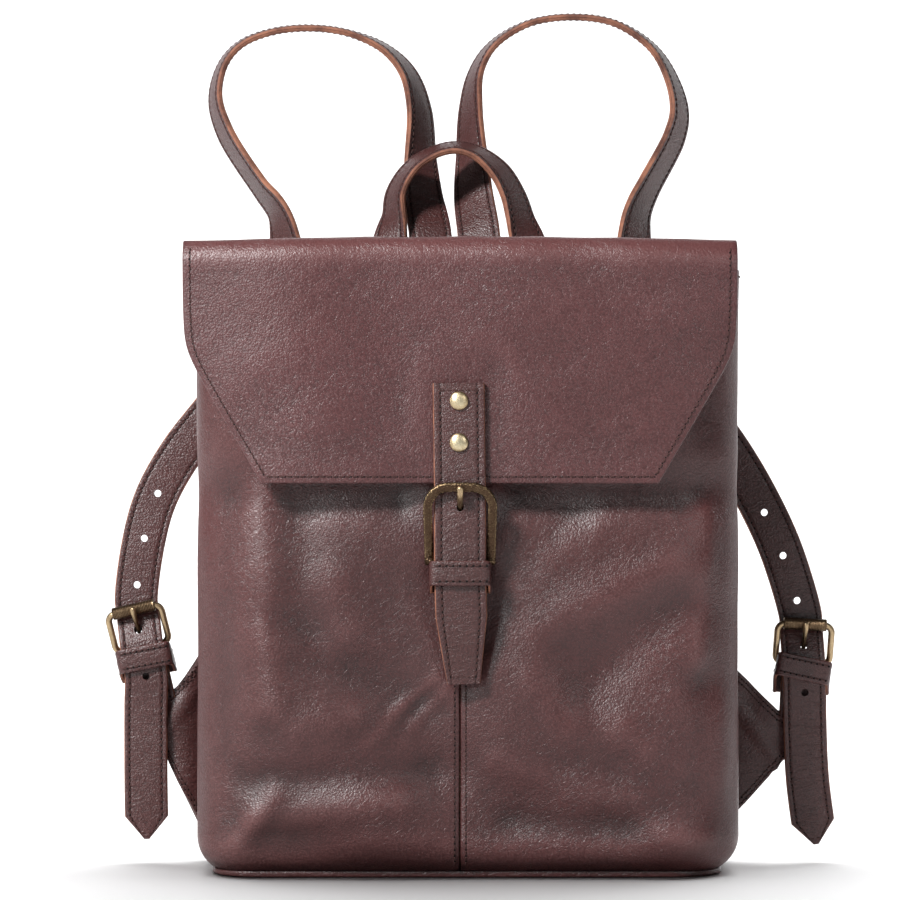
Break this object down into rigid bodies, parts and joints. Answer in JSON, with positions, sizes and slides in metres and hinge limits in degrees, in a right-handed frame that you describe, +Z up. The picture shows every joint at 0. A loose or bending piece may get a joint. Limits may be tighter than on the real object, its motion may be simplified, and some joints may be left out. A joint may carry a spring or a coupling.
{
  "type": "leather backpack",
  "caption": "Flat-fronted leather backpack with a fold-over flap, a buckled closure strap, a grab handle and adjustable shoulder straps.",
  "frame": {"origin": "centre of the base's underside, where the bag stands", "axes": "+Z up, -Y towards the flap side, +X to the viewer's right when looking at the flap"},
  "size_m": [0.4181, 0.1819, 0.4935],
  "materials": {
    "body_leather": "reddish-brown pull-up leather with a soft waxy sheen",
    "strap_leather": "two layers of reddish-brown leather, raw tan edges",
    "cotton": "plain woven cotton",
    "board": "stiff fibre board",
    "aged_brass": "antique brass, worn brighter on its edges"
  },
  "bodies": {
    "bag": {"front_panel_left": "body_leather", "front_panel_right": "body_leather", "back_panel": "body_leather", "base_panel": "body_leather", "base_board": "board", "lining": "cotton", "mouth_facing": "body_leather", "inner_pocket": "cotton", "anchor_patch": "body_leather", "handle_end_left": "strap_leather", "handle_end_right": "strap_leather", "strap_end_left": "strap_leather", "strap_end_right": "strap_leather", "side_tab_left": "body_leather", "side_tab_right": "body_leather", "closure_chape": "strap_leather", "closure_keeper": "strap_leather"},
    "flap": {"flap_leather": "body_leather", "flap_lining": "cotton", "closure_strap": "strap_leather", "rivet_cap_upper": "aged_brass", "rivet_post_upper": "aged_brass", "rivet_cap_lower": "aged_brass", "rivet_post_lower": "aged_brass"},
    "handle": {"handle": "strap_leather"},
    "closure_frame": {"closure_buckle_frame": "aged_brass"},
    "closure_prong": {"closure_buckle_prong": "aged_brass"},
    "strap_left": {"shoulder_strap_left": "strap_leather", "strap_buckle_frame_left": "aged_brass", "strap_chape_left": "strap_leather", "strap_keeper_left": "strap_leather"},
    "roller_left": {"strap_buckle_roller_left": "aged_brass"},
    "prong_left": {"strap_buckle_prong_left": "aged_brass"},
    "strap_right": {"shoulder_strap_right": "strap_leather", "strap_buckle_frame_right": "aged_brass", "strap_chape_right": "strap_leather", "strap_keeper_right": "strap_leather"},
    "roller_right": {"strap_buckle_roller_right": "aged_brass"},
    "prong_right": {"strap_buckle_prong_right": "aged_brass"}
  },
  "joints": [
    {"name": "flap_hinge", "type": "hinge", "parent": "bag", "child": "flap", "pos_m": [0, 0.042, 0.351], "axis": [-1, 0, 0], "range_deg": [0, 92], "deforming": ["closure_strap"]},
    {"name": "handle_hinge", "type": "hinge", "parent": "bag", "child": "handle", "pos_m": [0, 0.0503, 0.3485], "axis": [-1, 0, 0], "range_deg": [-24, 0]},
    {"name": "closure_frame_tilt", "type": "hinge", "parent": "bag", "child": "closure_frame", "pos_m": [0, -0.0565, 0.175], "axis": [1, 0, 0], "range_deg": [0, 30]},
    {"name": "closure_prong_swing", "type": "hinge", "parent": "closure_frame", "child": "closure_prong", "pos_m": [0, -0.0565, 0.175], "axis": [1, 0, 0], "range_deg": [0, 55]},
    {"name": "shoulder_strap_left_swing", "type": "hinge", "parent": "bag", "child": "strap_left", "pos_m": [-0.0035, 0.0485, 0.348], "axis": [-0.5627, -0.0098, -0.8266], "range_deg": [0, 6]},
    {"name": "roller_left_spin", "type": "hinge", "parent": "strap_left", "child": "roller_left", "pos_m": [-0.18652, 0.03844, 0.14425], "axis": [0.9744, 0, 0.225], "continuous": true},
    {"name": "prong_left_swing", "type": "hinge", "parent": "strap_left", "child": "prong_left", "pos_m": [-0.1815, 0.044, 0.1225], "axis": [0.9744, 0, 0.225], "range_deg": [0, 8]},
    {"name": "shoulder_strap_right_swing", "type": "hinge", "parent": "bag", "child": "strap_right", "pos_m": [-0.0005, 0.0485, 0.348], "axis": [-0.598, 0.0092, 0.8014], "range_deg": [0, 6]},
    {"name": "roller_right_spin", "type": "hinge", "parent": "strap_right", "child": "roller_right", "pos_m": [0.19767, 0.03844, 0.13579], "axis": [0.9986, 0, -0.0523], "continuous": true},
    {"name": "prong_right_swing", "type": "hinge", "parent": "strap_right", "child": "prong_right", "pos_m": [0.1965, 0.044, 0.1135], "axis": [0.9986, 0, -0.0523], "range_deg": [0, 8]}
  ]
}
